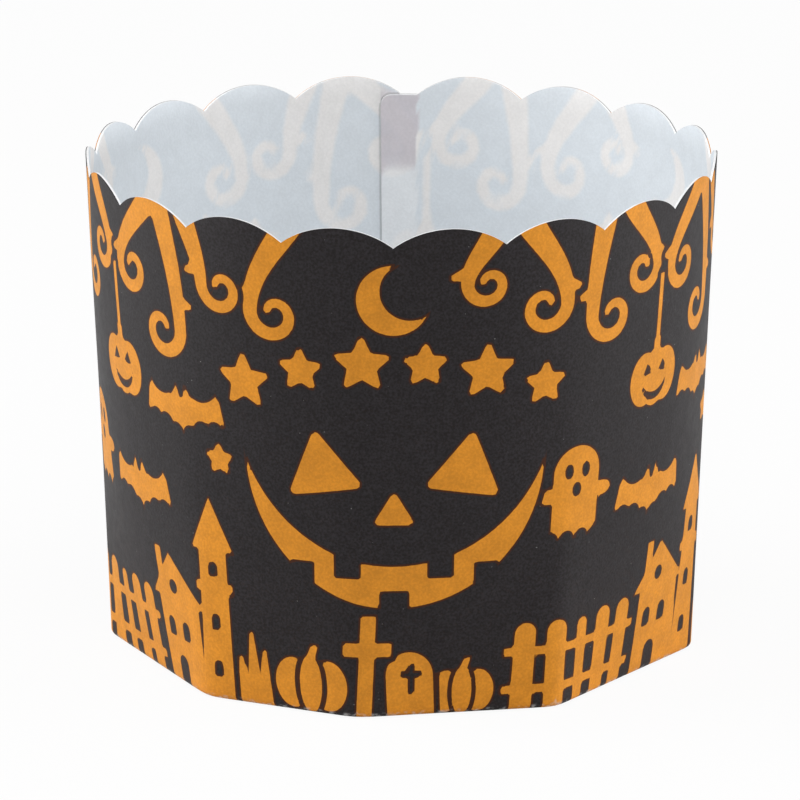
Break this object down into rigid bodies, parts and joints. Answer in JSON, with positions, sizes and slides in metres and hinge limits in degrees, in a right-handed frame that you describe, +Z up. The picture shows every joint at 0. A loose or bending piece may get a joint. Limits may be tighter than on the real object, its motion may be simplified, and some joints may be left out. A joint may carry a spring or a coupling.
{
  "type": "cupcake liner",
  "caption": "Stiff paper baking cup with a scalloped rim, a glued lap at the back and a folded eight-sided base.",
  "frame": {"origin": "middle of the liner's outline, on the surface that it stands on", "axes": "+Z up along the cup's axis, -Y the printed front, +Y the glued lap"},
  "size_m": [0.0614, 0.0629, 0.0496],
  "materials": {
    "printed_paper": "matt printed greaseproof paper, black with orange outside and white inside"
  },
  "bodies": {
    "root": {"liner": "printed_paper"}
  },
  "joints": []
}
